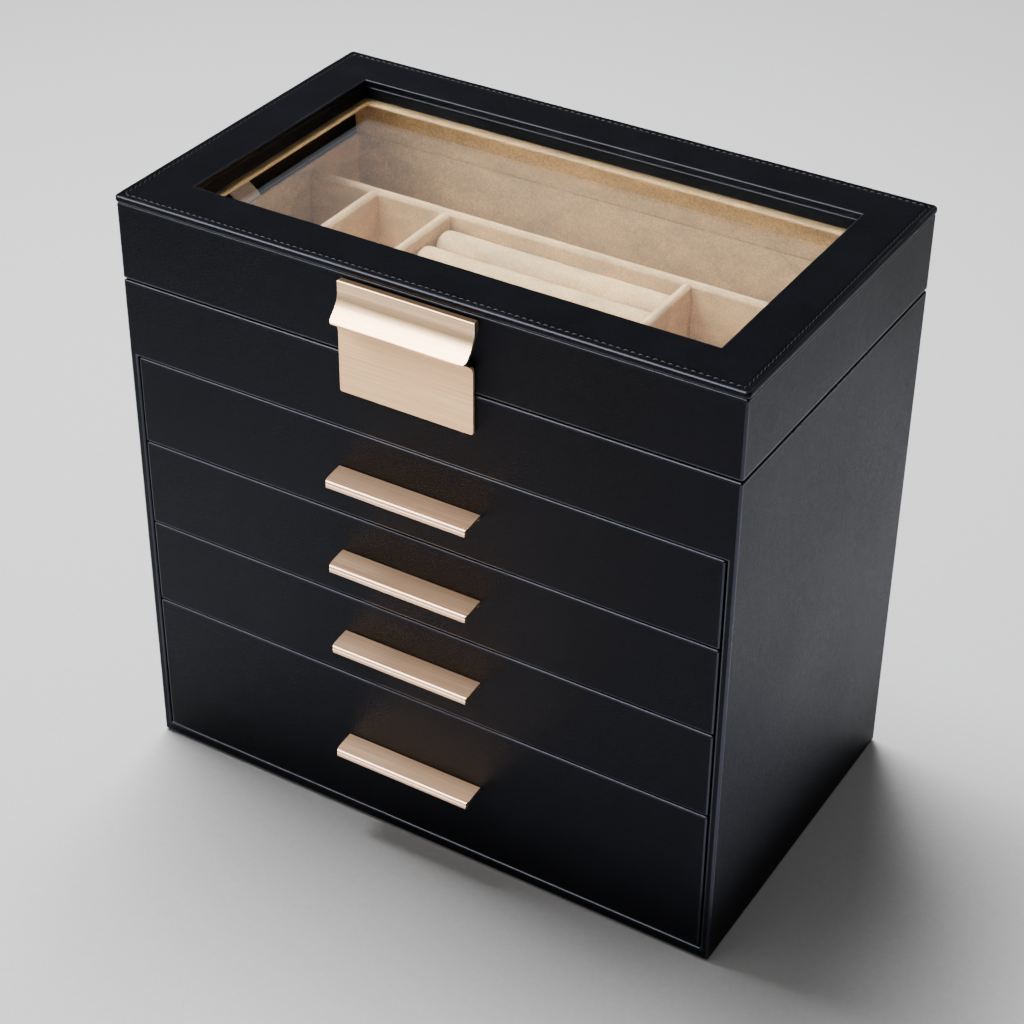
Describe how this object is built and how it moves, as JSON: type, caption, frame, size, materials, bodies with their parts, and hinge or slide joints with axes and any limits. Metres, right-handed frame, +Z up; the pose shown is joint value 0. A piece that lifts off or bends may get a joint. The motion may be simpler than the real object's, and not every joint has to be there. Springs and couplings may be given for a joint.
{
  "type": "jewelry armoire",
  "caption": "Tabletop jewelry armoire: leather-wrapped case with a glass-window lid over a lined tray with ring rolls, a front clasp, and a stack of pull-out drawers.",
  "frame": {"origin": "centre of the footprint, on the surface the case stands on", "axes": "+Z up, +X to the right seen from the front, -Y out of the drawer fronts"},
  "size_m": [0.2892, 0.1854, 0.282],
  "materials": {
    "black_leather": "fine-grain black leatherette wrapped over board, satin",
    "cream_velvet": "short-pile cream velvet",
    "satin_gold": "brushed champagne gold, satin",
    "clear_glass": "clear float glass",
    "hinge_brass": "satin brass plate",
    "stay_ribbon": "ribbed satin ribbon",
    "base_felt": "black felt"
  },
  "bodies": {
    "case": {"side_panel_left": "black_leather", "side_panel_right": "black_leather", "back_panel": "black_leather", "base_panel": "black_leather", "base_felt": "base_felt", "front_band": "black_leather", "tray_deck": "black_leather", "drawer_shelf_1": "black_leather", "drawer_shelf_2": "black_leather", "drawer_shelf_3": "black_leather", "tray_liner": "cream_velvet", "tray_floor_pad": "cream_velvet", "tray_long_divider": "cream_velvet", "tray_cross_divider_1": "cream_velvet", "tray_cross_divider_2": "cream_velvet", "tray_cross_divider_3": "cream_velvet", "ring_roll_1": "cream_velvet", "ring_roll_2": "cream_velvet", "ring_roll_3": "cream_velvet", "ring_roll_4": "cream_velvet", "ring_roll_5": "cream_velvet", "ring_roll_6": "cream_velvet", "ring_roll_7": "cream_velvet", "hinge_left_case_leaf": "hinge_brass", "hinge_left_pin": "hinge_brass", "hinge_right_case_leaf": "hinge_brass", "hinge_right_pin": "hinge_brass", "clasp_strike_plate": "satin_gold"},
    "lid": {"lid_top_board": "black_leather", "lid_rim_left": "black_leather", "lid_rim_right": "black_leather", "lid_rim_front": "black_leather", "lid_rim_back": "black_leather", "lid_window_frame": "black_leather", "lid_glass": "clear_glass", "glass_retainer": "cream_velvet", "lid_back_lining": "cream_velvet", "ribbon_stay": "stay_ribbon", "hinge_left_lid_leaf": "hinge_brass", "hinge_right_lid_leaf": "hinge_brass", "clasp_bracket": "satin_gold", "clasp_pivot_pin": "satin_gold"},
    "clasp": {"clasp_pull": "satin_gold"},
    "drawer_1": {"drawer_1_front": "black_leather", "drawer_1_box": "cream_velvet", "drawer_1_pad": "cream_velvet", "drawer_1_handle": "satin_gold"},
    "drawer_2": {"drawer_2_front": "black_leather", "drawer_2_box": "cream_velvet", "drawer_2_pad": "cream_velvet", "drawer_2_handle": "satin_gold"},
    "drawer_3": {"drawer_3_front": "black_leather", "drawer_3_box": "cream_velvet", "drawer_3_pad": "cream_velvet", "drawer_3_handle": "satin_gold"},
    "drawer_4": {"drawer_4_front": "black_leather", "drawer_4_box": "cream_velvet", "drawer_4_pad": "cream_velvet", "drawer_4_handle": "satin_gold"}
  },
  "joints": [
    {"name": "lid_hinge", "type": "hinge", "parent": "case", "child": "lid", "pos_m": [0, 0.0872, 0.243], "axis": [-1, 0, 0], "range_deg": [0, 95]},
    {"name": "clasp_pivot", "type": "hinge", "parent": "lid", "child": "clasp", "pos_m": [0, -0.0873, 0.2756], "axis": [-1, 0, 0], "range_deg": [0, 30], "stiffness_Nm_per_rad": 0.02},
    {"name": "drawer_1_slide", "type": "slide", "parent": "case", "child": "drawer_1", "axis": [0, -1, 0], "range_m": [0, 0.14]},
    {"name": "drawer_2_slide", "type": "slide", "parent": "case", "child": "drawer_2", "axis": [0, -1, 0], "range_m": [0, 0.14]},
    {"name": "drawer_3_slide", "type": "slide", "parent": "case", "child": "drawer_3", "axis": [0, -1, 0], "range_m": [0, 0.14]},
    {"name": "drawer_4_slide", "type": "slide", "parent": "case", "child": "drawer_4", "axis": [0, -1, 0], "range_m": [0, 0.14]}
  ]
}
